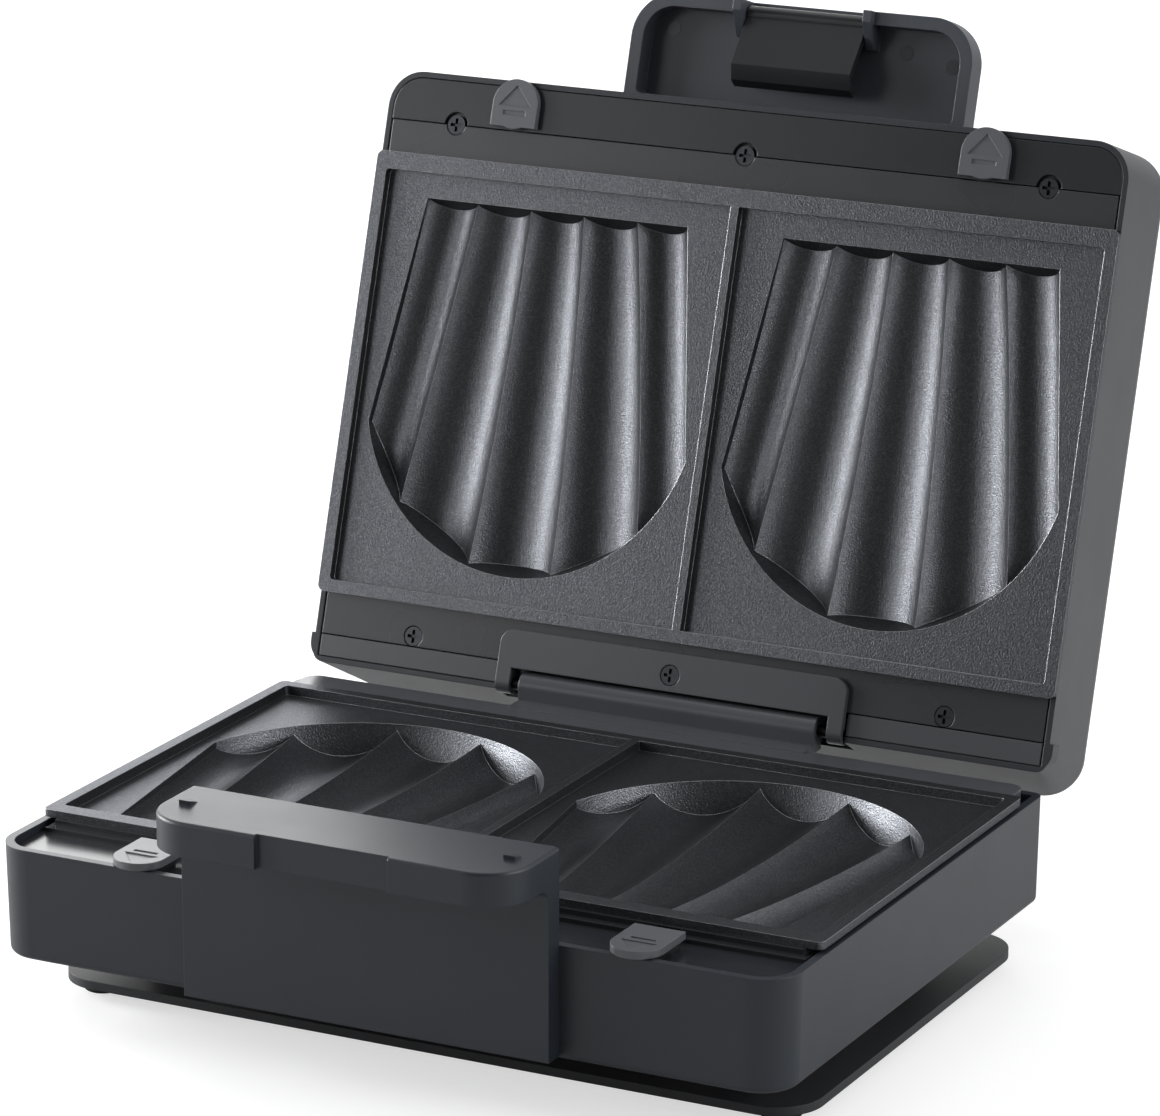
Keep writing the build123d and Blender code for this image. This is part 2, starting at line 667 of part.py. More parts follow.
# Lid rear trim, one flush strip on each side of the hinge bracket
rear_y0 = rear_bar_y1 + seam
strips = []
for side in (-1, 1):
    x0, x1 = sorted((side * (leg_out + 0.8), side * bar_hw))
    strips.append(opened(block(x0, x1, rear_y0, lid_in_y1 - fit, z_lid, z_lid + trim_t)))
save("lid_rear_trim", *strips)

# Hinge bracket: raised arch on the lid frame, two pin legs and a hood over the barrel
leg_low = z_lid - bracket_raise
leg_r = hinge_z - leg_low
bracket = slab(leg_out, bracket_front, hinge_y, leg_low, z_lid, 5.0, 0)
cut_y = hinge_y - barrel_r - 0.6
bracket -= block(-leg_in, leg_in, cut_y, hinge_y + 1, leg_low - 1, z_lid + 1)
for side in (-1, 1):
    x0, x1 = sorted((side * leg_in, side * leg_out))
    bracket += block(x0, x1, cut_y, hinge_y, leg_low, hinge_z + leg_r)
    bracket += rod(x0, hinge_y, hinge_z, leg_r, x1 - x0, (1, 0, 0))
hood = rod(-leg_in - 1, hinge_y, hinge_z, barrel_r + 2.4, 2 * leg_in + 2, (1, 0, 0))
hood += block(-leg_in - 1, leg_in + 1, hinge_y - barrel_r - 2.4, cut_y + 1, z_lid - 0.5, hinge_z)
hood -= rod(-leg_in - 2, hinge_y, hinge_z, barrel_r + 0.7, 2 * leg_in + 4, (1, 0, 0))
hood -= block(-leg_in - 2, leg_in + 2, cut_y, hinge_y + 20, hinge_z - 20, hinge_z)
hood -= block(-leg_in - 2, leg_in + 2, hinge_y - 20, hinge_y, hinge_z - 20, leg_low)
hood -= block(-leg_in - 2, leg_in + 2, hinge_y + 2.4, hinge_y + 20, hinge_z - 1, hinge_z + 20)
bracket += hood
for side in (-1, 1):
    bracket -= rod(side * (leg_in - 2), hinge_y, hinge_z, pin_r + press_gap, leg_w + 4, (side, 0, 0))
x, y = rear_holes[1]
bracket -= rod(x, y, leg_low - 1, 1.7, 9, (0, 0, 1))
bracket -= rod(x, y, leg_low - 1, 3.7, 2.4, (0, 0, 1))
save("hinge_bracket", opened(bracket))
pins = []
for side in (-1, 1):
    pin_x = barrel_hw - pin_in + 2
    pin = rod(side * pin_x, hinge_y, hinge_z, pin_r, leg_out - pin_x, (side, 0, 0))
    pins.append(opened(pin))
save("hinge_pins", *pins)

# Screws through the lid frame into the lid shell
lid_screws = [screw(x, y, z_lid + 0.2, 3.4, 1.6, 1.5, 13.0, 1) for x, y in front_holes]
for x, y in rear_holes:
    low_z = z_lid + 0.2 if x else leg_low + 0.2
    head_h = 1.6 if x else 1.2
    lid_screws.append(screw(x, y, low_z, 3.4, head_h, 1.5, bar_top + 11 - low_z, 1))
save("lid_screws", *[opened(s) for s in lid_screws])

# Lid handle: a hollow tongue off the front of the lid, with two ears for the latch
tray_z = z_part + tray_up
tray_y = y_front - tray_reach
tray_top = tray_z + tray_h
tongue = slab(hw, tray_y, lid_y0 + 12, tray_z, tray_top, shelf_r, 0)
top_edges = tongue.edges().group_by(Axis.Z)[-1].filter_by_position(Axis.Y, tray_y - 1, lid_y0 - 8)
tongue = fillet(top_edges, 2.5)
tongue -= slab(hw - tray_wall, tray_y + tray_wall, lid_y0 - 3.0, tray_z - 1, tray_top - tray_floor,
               shelf_r - tray_wall, 2)
tongue -= lid_solid
pivot_y = tray_y + 4.2
pivot_z = tray_top - tray_floor - knuckle_r - fit
clip_hw = latch_w / 2
gap_hw = clip_hw + 0.5
tongue -= block(-gap_hw, gap_hw, tray_y - 1, tray_y + tray_wall + 1, tray_z - 1, tray_top - tray_floor)
ear = [
    (tray_y, tray_top - tray_floor + 0.5),
    (tray_y, tray_z - 2.6),
    (tray_y + 4.0, tray_z - 2.6),
    (tray_y + 13.0, tray_z + 4.0),
    (tray_y + 13.0, tray_top - tray_floor + 0.5),
]
for x in (-gap_hw - ear_t, gap_hw):
    tongue += prism_x(ear, x, x + ear_t)
ear_x = gap_hw + ear_t
tongue -= rod(-ear_x - 1, pivot_y, pivot_z, latch_pin_r + press_gap, 2 * ear_x + 2, (1, 0, 0))
save("lid_handle", opened(tongue))
latch_pin = rod(-ear_x, pivot_y, pivot_z, latch_pin_r, 2 * ear_x, (1, 0, 0))
save("latch_pin", opened(latch_pin))

# Latch clip: a plate hung on the pin, ending in a hook that goes under the shelf
hook_u = pivot_z - shelf_low + 0.4
half_t = 1.3
clip_points = [
    (-1.5, -half_t),
    (hook_u - 1.5, -half_t),
    (hook_u + 2.6, 2.8),
    (hook_u + 2.6, latch_hook),
    (hook_u, latch_hook),
    (hook_u, half_t + 0.9),
    (hook_u - 0.9, half_t),
    (-1.5, half_t),
]
lean = radians(latch_rest)
turned = [
    (pivot_y + u * cos(lean) + n * sin(lean), pivot_z - u * sin(lean) + n * cos(lean))
    for u, n in clip_points
]
clip = prism_x(turned, -clip_hw, clip_hw)
clip += rod(-clip_hw, pivot_y, pivot_z, knuckle_r, 2 * clip_hw, (1, 0, 0))
clip -= rod(-clip_hw - 1, pivot_y, pivot_z, latch_pin_r + run_gap, 2 * clip_hw + 2, (1, 0, 0))
clip -= rod(-clip_hw - 1, pivot_y, pivot_z, spring_r + spring_wire + fit, spring_len + 2, (1, 0, 0))
save("latch_clip", opened(clip))

# Latch spring on the pin, in a counterbore at the left end of the clip
coil = Helix(pitch=spring_len / 6, height=spring_len, radius=spring_r)
coil_wire = sweep(Plane(origin=coil @ 0, z_dir=coil % 0) * Circle(spring_wire), path=coil)
spring = Plane(origin=(-clip_hw + 0.4, pivot_y, pivot_z), z_dir=(1, 0, 0)) * coil_wire
save("latch_spring", opened(spring))

# Upper plate, heat tray, element and saddles: the lower ones turned over into the lid
save("upper_plate", opened(flipped(lower_plate)))
save("upper_heat_tray", opened(flipped(reflector)))
save("upper_element", opened(flipped(element)))
save("upper_element_saddles", *[opened(flipped(s)) for s in saddles])

# Wires inside the lid, from the hinge side to the two ends of the element
up_z = 2 * z_part - ends_z - 2.0
wire_x = element_gap + element_r + 8.0
lid_wires = []
for side in (-1, 1):
    run = [
        (side * wire_x, rear_bar_y1 - 1.5, bar_top + wire_r + 0.1),
        (side * wire_x, rear_bar_y1 - 12, bar_top + wire_r + 0.1),
        (side * wire_x, rear_bar_y1 - 12, up_z),
        (side * wire_x, end_y, up_z),
        (side * (element_gap + element_r + 0.3), end_y, up_z),
    ]
    lid_wires.append(opened(tube(run, wire_r, 1.4)))
save("lid_wiring", *lid_wires)


# Release tab: a round nosed key with a sunk arrow and bar, a stem in its slot,
# and a tooth that reaches to the plate
def tab(x, key_y, key_z, mark_z, stem_y, stem_z, tooth_end, tooth_z):
    r = tab_w / 2
    x0, x1 = x - stem_w / 2, x + stem_w / 2
    key = block(x - r, x + r, key_y[0] + r, key_y[1], *key_z)
    key += rod(x, key_y[0] + r, key_z[0], r, tab_t, (0, 0, 1))
    tip = key_y[0] + tab_w / 8
    base = tip + 0.42 * tab_w
    arrow = make_face(Polyline((x, tip), (x + 0.36 * tab_w, base), (x - 0.36 * tab_w, base), close=True))
    key -= Pos(0, 0, mark_z - mark_t) * extrude(arrow, amount=2 * mark_t, dir=(0, 0, 1))
    key -= block(x - tab_w / 4, x + tab_w / 4, base + 1.6, base + 3.2, mark_z - mark_t, mark_z + mark_t)
    key += block(x0, x1, *stem_y, *stem_z)
    return key + block(x0, x1, stem_y[0], tooth_end, *tooth_z)


tooth_y = riser_y - 0.6
low_key = z_rim + fit
high_key = z_lid - fit
for side, name in ((-1, "left"), (1, "right")):
    x = side * tab_x
    stem_start = in_front + tab_travel + 1.0
    low_top = low_key + tab_t
    low_tab = tab(x, (y_front - tab_out, plate_y0 - 8.0), (low_key, low_top), low_top,
                  (stem_start, plate_y0 - 8.0), (z_panel + fit, low_key),
                  tooth_y, (z_panel + fit, low_key - 0.6))
    save(f"base_release_tab_{name}", low_tab)
    high_face = high_key - tab_t
    high_tab = tab(x, (lid_y0 - 0.5, seam_y - 1.2), (high_face, high_key), high_face,
                   (stem_y0, stem_y1), (high_key, tooth_z + 2.2),
                   tooth_y, (tooth_z, tooth_z + 2.2))
    save(f"lid_release_tab_{name}", opened(high_tab))

# Set the frame under the middle of the whole object's box and write one file per piece
boxes = [solid.bounding_box() for solids in pieces.values() for solid in solids]
middle_y = (min(box.min.Y for box in boxes) + max(box.max.Y for box in boxes)) / 2
for name, solids in pieces.items():
    moved = [Pos(0, -middle_y, 0) * solid for solid in solids]
    export_step(moved[0] if len(moved) == 1 else Compound(children=moved), f"parts/{name}.step")
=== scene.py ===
import json
from math import radians

import bmesh
import bpy
from mathutils import Matrix, Vector


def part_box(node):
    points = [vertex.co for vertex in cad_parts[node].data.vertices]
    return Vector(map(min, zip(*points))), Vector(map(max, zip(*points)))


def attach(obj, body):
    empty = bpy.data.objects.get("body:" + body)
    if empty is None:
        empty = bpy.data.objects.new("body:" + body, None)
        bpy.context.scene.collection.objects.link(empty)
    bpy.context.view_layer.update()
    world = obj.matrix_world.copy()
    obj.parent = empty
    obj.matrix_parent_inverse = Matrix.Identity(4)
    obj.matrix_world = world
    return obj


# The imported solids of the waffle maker. They stay as they are, and the sections below give them
# their finishes, in the order in which the real one is put together.
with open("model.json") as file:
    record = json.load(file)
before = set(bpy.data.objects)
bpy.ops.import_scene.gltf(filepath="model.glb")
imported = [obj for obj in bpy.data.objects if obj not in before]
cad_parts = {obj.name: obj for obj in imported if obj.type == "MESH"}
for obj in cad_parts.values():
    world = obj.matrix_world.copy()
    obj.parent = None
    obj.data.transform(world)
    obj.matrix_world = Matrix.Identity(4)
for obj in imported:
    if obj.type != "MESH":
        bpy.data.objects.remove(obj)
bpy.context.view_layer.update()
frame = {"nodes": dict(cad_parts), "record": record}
scene = bpy.context.scene
scene.view_settings.view_transform = "Standard"

# Camera, fitted to the photograph from the two equal halves and from the turn of the hinge.
# It is placed in metres from the low front edge of the base shell.
base_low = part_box("base_shell")[0]
camera_right, camera_back, camera_up = 0.82487, 1.47025, 0.64438
camera_tilt, camera_turn = radians(73.7625), radians(27.091)
camera = bpy.data.objects.new("camera", bpy.data.cameras.new("camera"))
camera.data.lens = 176.63
camera.data.sensor_width = 36
camera.location = (camera_right, base_low[1] - camera_back, base_low[2] + camera_up)
camera.rotation_euler = (camera_tilt, 0, camera_turn)
scene.collection.objects.link(camera)
scene.camera = camera


# Room. The camera sees plain white behind the object. Glossy faces mirror a room that goes from
# white at the back to dark on the camera's side, and the fill light fades in the same way.
def add(tree, kind, *ordered, settings=(), **named):
    # one shader node: its settings, and a value, a socket or another node for each input given
    made = tree.nodes.new(kind)
    for key, value in dict(settings).items():
        setattr(made, key, value)
    for key, value in [*enumerate(ordered), *named.items()]:
        socket = made.inputs[key if isinstance(key, int) else key.replace("_", " ")]
        if isinstance(value, bpy.types.Node):
            value = value.outputs[0]
        if isinstance(value, bpy.types.NodeSocket):
            tree.links.new(value, socket)
        else:
            socket.default_value = value
    return made


world = bpy.data.worlds.new("studio")
scene.world = world
world.use_nodes = True
tree = world.node_tree
tree.nodes.clear()
paths = add(tree, "ShaderNodeLightPath").outputs
way = add(tree, "ShaderNodeTexCoord").outputs["Generated"]
depth = add(tree, "ShaderNodeSeparateXYZ", way).outputs["Y"]
fill_level = add(tree, "ShaderNodeMapRange", depth,
                 From_Min=-0.8, From_Max=0.4, To_Min=0.2, To_Max=0.7)
mirror_level = add(tree, "ShaderNodeMapRange", depth,
                   From_Min=-0.7, From_Max=0.6, To_Min=0.1, To_Max=1.0)
fill = add(tree, "ShaderNodeBackground", Strength=fill_level)
mirrored_room = add(tree, "ShaderNodeBackground", Strength=mirror_level)
backdrop = add(tree, "ShaderNodeBackground", Color=(1, 1, 1, 1), Strength=1.0)
lighting = add(tree, "ShaderNodeMixShader", paths["Is Glossy Ray"], fill, mirrored_room)
studio = add(tree, "ShaderNodeMixShader", paths["Is Camera Ray"], lighting, backdrop)
add(tree, "ShaderNodeOutputWorld", studio)

# Softboxes: five area lamps, with their places and sides in metres and their power in watts. The
# large one on the left draws the bright streaks down the flutes, and the others fill in.
lamp_aim = Vector((0, 0.05, 0.1))
for name, place, width, height, watts in (
    ("left_softbox", (-2.1, -0.2, 0.6), 1.4, 1.1, 70),
    ("front_softbox", (-1.65, -1.8, 0.8), 1.0, 1.0, 8),
    ("back_softbox", (-1.7, 2.0, 0.9), 1.3, 1.3, 18),
    ("right_softbox", (2.0, 0.1, 0.8), 1.2, 1.2, 21),
    ("top_softbox", (-0.1, 0.5, 2.0), 1.4, 1.4, 8),
):
    lamp = bpy.data.objects.new(name, bpy.data.lights.new(name, "AREA"))
    lamp.data.shape = "RECTANGLE"
    lamp.data.size = width
    lamp.data.size_y = height
    lamp.data.energy = watts
    lamp.location = place
    lamp.rotation_euler = (lamp_aim - Vector(place)).to_track_quat("-Z", "Y").to_euler()
    scene.collection.objects.link(lamp)


# Floor: a sheet of pale paper under the object, which keeps its shadow. The camera sees it as
# nearly white, and glossy faces mirror it as pale only from the middle of the object backwards.
def colour(hex_code, gain=1):
    # sRGB hex to the linear colour that Blender works in, made darker or paler by the gain
    parts = [int(hex_code[i:i + 2], 16) / 255 for i in (1, 3, 5)]
    linear = [c / 12.92 if c <= 0.04045 else ((c + 0.055) / 1.055) ** 2.4 for c in parts]
    return [min(1, c * gain) for c in linear] + [1]


floor_half = 6
sheet = bmesh.new()
bmesh.ops.create_grid(sheet, x_segments=1, y_segments=1, size=floor_half)
floor = bpy.data.objects.new("floor", bpy.data.meshes.new("floor"))
sheet.to_mesh(floor.data)
sheet.free()
scene.collection.objects.link(floor)
# Matt paper: even and pale, with no gloss of its own. The glow that lifts it is only looked at,
# and lights nothing.
paper = bpy.data.materials.new("pale_paper")
paper.use_nodes = True
tree = paper.node_tree
shader = tree.nodes["Principled BSDF"]
shader.inputs["Base Color"].default_value = colour("#c4c4c4")
shader.inputs["Roughness"].default_value = 0.8
glow = add(tree, "ShaderNodeEmission", Color=(1, 1, 1, 1), Strength=0.62)
lifted_paper = add(tree, "ShaderNodeAddShader", shader, glow)
paths = add(tree, "ShaderNodeLightPath").outputs
place = add(tree, "ShaderNodeTexCoord").outputs["Object"]
sweep = add(tree, "ShaderNodeMapRange", add(tree, "ShaderNodeSeparateXYZ", place).outputs["Y"],
            From_Min=-0.12, From_Max=0.05, To_Min=0, To_Max=0.38)
mirrored = add(tree, "ShaderNodeMath", paths["Is Glossy Ray"], sweep,
               settings={"operation": "MULTIPLY"})
seen = add(tree, "ShaderNodeMath", paths["Is Camera Ray"], mirrored,
           settings={"operation": "MAXIMUM"})
surface = add(tree, "ShaderNodeMixShader", seen, shader, lifted_paper)
tree.links.new(surface.outputs[0], tree.nodes["Material Output"].inputs["Surface"])
floor.data.materials.append(paper)


# Base shell: the outer wall of the lower half, with rounded front corners. It is injection moulded
# in one piece, open above and below, with ledges for the frame and posts for the cover's screws.
def moulded(name, hex_code, rough, grain_mm, depth_mm, edge_mm=0.5):
    # A skin as it comes from a mould. The eye sees a fine grain that breaks up the highlights, slow
    # changes of tone, gloss that handling has varied a little, and edges painted paler, as a
    # painted highlight and as rubbing wear.
    cloud_mm, handling_mm = 45.5, 25
    made = bpy.data.materials.new(name)
    made.use_nodes = True
    tree = made.node_tree
    place = add(tree, "ShaderNodeTexCoord").outputs["Object"]
    cloud = add(tree, "ShaderNodeTexNoise", Vector=place, Scale=1000 / cloud_mm, Detail=3)
    tone = add(tree, "ShaderNodeMixRGB", cloud, colour(hex_code, 0.88), colour(hex_code, 1.12))
    edge = add(tree, "ShaderNodeBevel", Radius=edge_mm / 1000)
    flat = add(tree, "ShaderNodeNewGeometry").outputs["Normal"]
    turn = add(tree, "ShaderNodeVectorMath", edge, flat, settings={"operation": "DOT_PRODUCT"})
    # painted highlight and rubbing wear: edges that turn away from the flat face are painted paler
    edge_highlight_and_wear = add(tree, "ShaderNodeMapRange", turn.outputs["Value"],
                 From_Min=0.99, From_Max=0.8, To_Min=0, To_Max=0.55)
    highlighted_and_worn_tone = add(tree, "ShaderNodeMixRGB", edge_highlight_and_wear, tone, colour(hex_code, 1.9))
    handling = add(tree, "ShaderNodeTexNoise", Vector=place, Scale=1000 / handling_mm, Detail=2)
    gloss = add(tree, "ShaderNodeMapRange", handling,
                From_Min=0.3, From_Max=0.7, To_Min=rough - 0.015, To_Max=rough + 0.015)
    grain = add(tree, "ShaderNodeTexNoise", Vector=place, Scale=1000 / grain_mm, Detail=2)
    skin = add(tree, "ShaderNodeBump", Height=grain, Distance=depth_mm / 1000, Strength=0.6,
               Normal=edge)
    for socket, source in (("Base Color", highlighted_and_worn_tone), ("Roughness", gloss), ("Normal", skin)):
        tree.links.new(source.outputs[0], tree.nodes["Principled BSDF"].inputs[socket])
    return made


def dress(material, *names):
    # puts one material on the solids of these pieces
    for name in names:
        mesh = frame["nodes"][name].data
        mesh.materials.clear()
        mesh.materials.append(material)


# Spark textured ABS: a matt charcoal, a little blue, that turns pale grey only at a low angle. The
# real grain is near 0.1 mm, and is drawn at 0.6 mm so that it shows.
charcoal_abs = moulded("charcoal_abs_spark_textured", "#262b32", 0.4, 0.6, 0.04)
dress(charcoal_abs, "base_shell")

# Bush for the cord: soft black rubber, moulded with a flange on its outer end and pushed into a
# round hole in the back wall. Rubber swallows nearly all light and has hardly any gloss.
black_rubber = moulded("black_rubber", "#161617", 0.7, 0.8, 0.08)
dress(black_rubber, "cord_gland")

# Thermostat, fixed under the lower tray, and terminal block, fixed on the bottom cover: both are
# pressed and fired. Steatite ceramic is dull, pale and slightly warm.
steatite = moulded("steatite_ceramic", "#b9b3a8", 0.6, 0.7, 0.05)
dress(steatite, "thermostat", "terminal_block")

# Wires of the base: stranded copper in a heat proof sleeve, run from the bush to the terminals and
# on to fuse, thermostat and heater. Black silicone is even, and glossier than the rubber.
silicone = moulded("black_silicone_sleeve", "#1c1c1e", 0.5, 0.5, 0.03)
dress(silicone, "base_wiring")


# Thermal fuse: a small drawn steel can under the lower tray, in the line to the heater, which it
# cuts off for good when it gets too hot.
def steel(name, hex_code, rough, grain_mm):
    # Rolled or drawn steel. The eye sees streaks in the gloss and a cloudy tone.
    cloud_mm, streak_mm = 16.7, 16.7
    made = bpy.data.materials.new(name)
    made.use_nodes = True
    tree = made.node_tree
    shader = tree.nodes["Principled BSDF"]
    shader.inputs["Metallic"].default_value = 1
    place = add(tree, "ShaderNodeTexCoord").outputs["Object"]
    cloud = add(tree, "ShaderNodeTexNoise", Vector=place, Scale=1000 / cloud_mm, Detail=3)
    tone = add(tree, "ShaderNodeMixRGB", cloud, colour(hex_code, 0.75), colour(hex_code, 1.2))
    drawn_out = add(tree, "ShaderNodeMapping", Vector=place,
                    Scale=(1000 / streak_mm, 1000 / grain_mm, 1000 / grain_mm))
    streaks = add(tree, "ShaderNodeTexNoise", Vector=drawn_out, Scale=1, Detail=3)
    gloss = add(tree, "ShaderNodeMapRange", streaks, To_Min=rough - 0.1, To_Max=rough + 0.1)
    skin = add(tree, "ShaderNodeBump", Height=streaks, Distance=0.00003)
    for socket, source in (("Base Color", tone), ("Roughness", gloss), ("Normal", skin)):
        tree.links.new(source.outputs[0], shader.inputs[socket])
    return made


# Zinc plated steel: pale and fairly bright. Its streaks are drawn at 0.4 mm so that they show.
dress(steel("zinc_plated_steel", "#a9aaac", 0.3, 0.4), "thermal_fuse")

# Lower heater: a resistance wire in a bent steel tube packed with magnesia. Its two ends go down
# through the tray to the wires. Heat has browned the steel, which is dull and dark.
browned_steel = steel("heat_browned_steel", "#5c5a58", 0.45, 0.5)
dress(browned_steel, "lower_element")

# Tray hung under the base frame, and the saddles on it that carry the heater. The tray is pressed
# from thin sheet and keeps the heat off the plastic. Aluminised steel is pale and bright.
aluminised_steel = steel("aluminised_steel_sheet", "#c2c3c4", 0.35, 0.6)
dress(aluminised_steel, "lower_heat_tray", "lower_element_saddles")

# Base frame: the flat panel inside the rim, with the stepped seat of the plate, laid on the ledges
# of the shell. It is heat proof PBT from a polished mould: smooth, and a mirror at a low angle.
dress(moulded("satin_pbt", "#2b2c30", 0.2, 0.5, 0.01), "base_frame")

# Hinge carrier: the raised strip behind the plate, with the barrel of the hinge, moulded in one.
# The same PBT with glass fibre in it, which leaves the skin greyer and duller.
fibre_pbt = moulded("glass_filled_pbt", "#47494d", 0.3, 0.5, 0.02)
dress(fibre_pbt, "hinge_carrier")

# Bottom cover: closes the base from below, moulded with slots that let the warm air out. It is ABS
# from an unpolished mould, rougher than the shell because nobody sees it.
rough_abs = moulded("charcoal_abs_rough", "#2c2d30", 0.55, 0.9, 0.08)
dress(rough_abs, "bottom_cover")

# Cord wrap plate: a smaller plate on posts under the bottom cover, so that the cord can be wound
# round the gap. It is moulded in the same rough ABS.
dress(rough_abs, "cord_wrap_plate")

# Screws of the bottom cover, the wrap plate and the lower handle: cross headed, and driven into
# plain posts. Black oxide leaves steel nearly black, with a dull sheen.
black_steel = steel("black_oxide_steel", "#2c2c2e", 0.42, 0.4)
dress(black_steel, "cover_screws", "wrap_screws", "handle_screws")

# Feet: four round pads, moulded in the black rubber of the bush and glued under the wrap plate.
# They keep it off the table by 4 mm.
dress(black_rubber, "rubber_feet")

# Lower handle: an apron on the front wall and a thick shelf that reaches forward, moulded in one
# and screwed on from inside. The same spark textured ABS as the shell.
dress(charcoal_abs, "lower_handle")

# Lower plate: cast aluminium with two fluted shell moulds, a flat rim and a divider. It is sprayed
# with a dark non-stick coating, and two tabs at the front hold it in the frame.
fleck_mm, haze_mm, peel_mm, ridge_highlight_mm = 0.4, 55.6, 0.588, 0.3
coating = bpy.data.materials.new("flecked_ptfe_on_cast_aluminium")
coating.use_nodes = True
tree = coating.node_tree
shader = tree.nodes["Principled BSDF"]
# PTFE with metal flecks: near metallic, dark where it mirrors the dark side of the room, with soft
# bright streaks along the flutes. The real flecks are near 0.1 mm and are drawn at 0.4 mm to show.
shader.inputs["Metallic"].default_value = 0.92
shader.inputs["Specular Tint"].default_value = colour("#c4c4c5")
place = add(tree, "ShaderNodeTexCoord").outputs["Object"]
flecks = add(tree, "ShaderNodeTexVoronoi", Vector=place, Scale=1000 / fleck_mm)
fleck_tone = add(tree, "ShaderNodeValToRGB",
                 add(tree, "ShaderNodeSeparateColor", flecks.outputs["Color"]))
fleck_stops = ((0.35, "#606266"), (1, "#787a7e"))
for stop, (position, hex_code) in zip(fleck_tone.color_ramp.elements, fleck_stops):
    stop.position = position
    stop.color = colour(hex_code)
# the spray lies a little thicker in places, which darkens it and changes its gloss
haze = add(tree, "ShaderNodeTexNoise", Vector=place, Scale=1000 / haze_mm, Detail=4)
haze_tone = add(tree, "ShaderNodeValToRGB", haze)
haze_tone.color_ramp.elements[0].color = colour("#ededed")
tone = add(tree, "ShaderNodeMixRGB", 1, fleck_tone, haze_tone, settings={"blend_type": "MULTIPLY"})
gloss = add(tree, "ShaderNodeMapRange", haze, To_Min=0.31, To_Max=0.37)
# painted highlight: a paler line along the sharp ridges, which also stands for the aluminium
# showing through where the coat thins out
edge = add(tree, "ShaderNodeBevel", Radius=ridge_highlight_mm / 1000)
flat = add(tree, "ShaderNodeNewGeometry").outputs["Normal"]
turn = add(tree, "ShaderNodeVectorMath", edge, flat, settings={"operation": "DOT_PRODUCT"})
ridge_highlight = add(tree, "ShaderNodeMapRange", turn.outputs["Value"],
           From_Min=0.995, From_Max=0.9, To_Min=0, To_Max=0.7)
ridge_highlighted_tone = add(tree, "ShaderNodeMixRGB", ridge_highlight, tone, colour("#c4c6c9"))
# and it dries with the slight orange peel of a sprayed coat
peel = add(tree, "ShaderNodeTexNoise", Vector=place, Scale=1000 / peel_mm, Detail=2)
skin = add(tree, "ShaderNodeBump", Height=peel, Distance=0.00016, Normal=edge)
for socket, source in (("Base Color", ridge_highlighted_tone), ("Roughness", gloss), ("Normal", skin)):
    tree.links.new(source.outputs[0], shader.inputs[socket])
dress(coating, "lower_plate")

# Release tabs of the base: round nosed keys in slots of the frame, each with an arrow and a bar
# sunk in it. Drawn forward, they free the plate. Grey acetal is slippery, with a soft sheen.
grey_acetal = moulded("grey_acetal", "#5a5b60", 0.36, 0.5, 0.03)
dress(grey_acetal, "base_release_tab_left", "base_release_tab_right")

# Lid shell: the cover of the upper half, a shallow box moulded in one piece with its posts. It is
# spark textured ABS too, and its rear wall, which faces down while the lid is open, has its gloss
# turned down as painted shade.
cover_abs = moulded("lid_cover_abs", "#262a30", 0.4, 0.6, 0.04)
rear_wall_way = (0, -0.2, -0.98)
plain_gloss, painted_shade_gloss = 0.5, 0.18
tree = cover_abs.node_tree
facing = add(tree, "ShaderNodeVectorMath", add(tree, "ShaderNodeTexCoord").outputs["Normal"],
             rear_wall_way, settings={"operation": "DOT_PRODUCT"})
# painted shade: faces that point down and back, as the rear wall does in the open lid, mirror less
# light
painted_shade_shine = add(tree, "ShaderNodeMapRange", facing.outputs["Value"],
            From_Min=0.75, From_Max=0.95, To_Min=plain_gloss, To_Max=painted_shade_gloss)
tree.links.new(painted_shade_shine.outputs[0], tree.nodes["Principled BSDF"].inputs["Specular IOR Level"])
dress(cover_abs, "lid_shell")

# Works of the lid: the same heater, tray and saddles as in the base, turned over, and wires from
# the hinge side to the two ends of the heater.
dress(browned_steel, "upper_element")
dress(aluminised_steel, "upper_heat_tray", "upper_element_saddles")
dress(silicone, "lid_wiring")

# Lid frame: two bars flush with the rim of the lid and two rails behind the upper plate, moulded
# in one. It is PBT with a satin skin, a little greyer than the strip in front of it.
dress(moulded("lid_frame_pbt", "#36373b", 0.28, 0.5, 0.02), "lid_frame")

# Front strip of the lid: a flush strip along the handle's side, moulded with slots for the tabs
# and half round recesses for the screws. Satin PBT again, nearly black.
dress(moulded("lid_front_strip_pbt", "#232529", 0.3, 0.5, 0.02), "lid_front_trim")

# Rear strips of the lid: one on each side of the hinge bracket, flush with the frame. PBT from a
# mould with a coarser polish, the dullest of the three, and painted the palest grey as painted
# light.
dress(moulded("lid_rear_strip_pbt_painted_paler", "#494b4f", 0.32, 0.5, 0.02), "lid_rear_trim")

# Hinge bracket: a raised arch screwed on the lid frame, with two legs that straddle the barrel. It
# carries the lid, so it is moulded in the glass filled PBT of the barrel.
dress(fibre_pbt, "hinge_bracket")

# Hinge pins: two turned steel pins, pressed into the legs of the bracket and free to turn in the
# barrel, with a black oxide skin like the screws of the base.
dress(black_steel, "hinge_pins")

# Screws of the lid: six cross headed screws with sunk heads, which hold strip, frame and bracket
# to the posts of the shell. Black zinc is greyer and a little brighter than black oxide.
dress(steel("black_zinc_steel", "#4a4b4f", 0.34, 0.4), "lid_screws")

# Upper plate: the mirror twin of the lower plate, cast and coated in the same way, and held by the
# tabs of the lid.
dress(coating, "upper_plate")

# Release tabs of the lid: the same grey keys as on the base. They sit in the slots of the front
# strip and are drawn towards the tongue.
dress(grey_acetal, "lid_release_tab_left", "lid_release_tab_right")

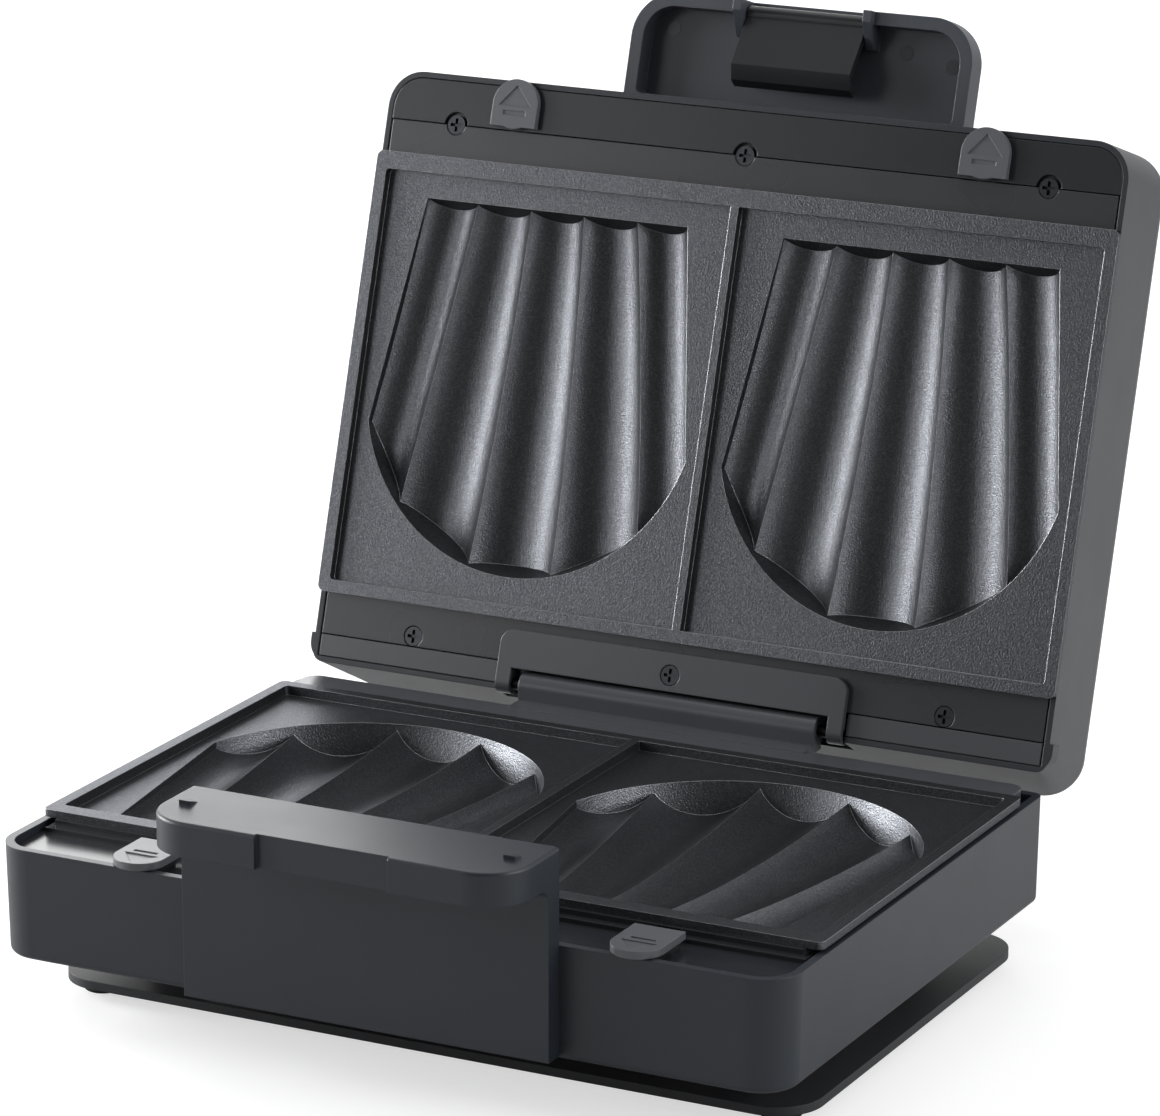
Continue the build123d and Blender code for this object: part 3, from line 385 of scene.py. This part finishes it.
# Tongue, the handle of the lid: a hollow tray with a rounded edge and two ears for the latch, fixed
# to the front of the shell. It is spark textured ABS, and its skin is paler than the shell's.
dress(moulded("tongue_abs", "#3d4148", 0.4, 0.6, 0.04), "lid_handle")

# Pin marks: three round marks on the floor of the tongue, where the pins of the mould pushed it
# out. They are discs 5.4 mm across that stand 0.1 mm proud, drawn closed and swung open.
mark_radius, mark_sunk, mark_proud = 0.0027, 0.00005, 0.0001
mark_places = ((-0.053, -0.2374), (0.037, -0.2364), (0.055, -0.2331))
open_angle = radians(107.6)
hinge = Vector(frame["record"]["behaviour"]["joints"][0]["pos_m"])
tongue_floor = hinge.z + 0.0392
discs = bmesh.new()
for x, from_hinge in mark_places:
    at = Matrix.Translation((x, hinge.y + from_hinge, tongue_floor + mark_sunk))
    disc = bmesh.ops.create_circle(discs, cap_ends=True, segments=40, radius=mark_radius, matrix=at)
    raised = bmesh.ops.extrude_face_region(discs, geom=disc["verts"][0].link_faces[:])["geom"]
    bmesh.ops.translate(discs, verts=[v for v in raised if isinstance(v, bmesh.types.BMVert)],
                        vec=(0, 0, -mark_sunk - mark_proud))
swing = Matrix.Rotation(-open_angle, 4, "X")
bmesh.ops.rotate(discs, cent=hinge, matrix=swing.to_3x3(), verts=discs.verts[:])
bmesh.ops.recalc_face_normals(discs, faces=discs.faces[:])
marks = bpy.data.objects.new("tongue_pin_marks", bpy.data.meshes.new("tongue_pin_marks"))
discs.to_mesh(marks.data)
discs.free()
scene.collection.objects.link(marks)
# ABS pressed against a ground steel pin: smoother and darker than the grain round it.
marks.data.materials.append(moulded("tongue_abs_pin_mark", "#33373c", 0.3, 0.5, 0.02, 0.2))
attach(marks, "lid")

# Latch: a clip that turns on a pin in the tongue and hooks under the shelf of the lower handle. It
# is acetal, nearly black, with the soft sheen of the tabs.
dress(moulded("black_acetal", "#202124", 0.32, 0.5, 0.02), "latch_clip")

# Pin and spring of the latch: a turned pin pressed into the ears of the tongue, and a wound spring
# on it, in the end of the clip, that draws it back. Both have the black oxide of the hinge pins.
dress(black_steel, "latch_pin", "latch_spring")
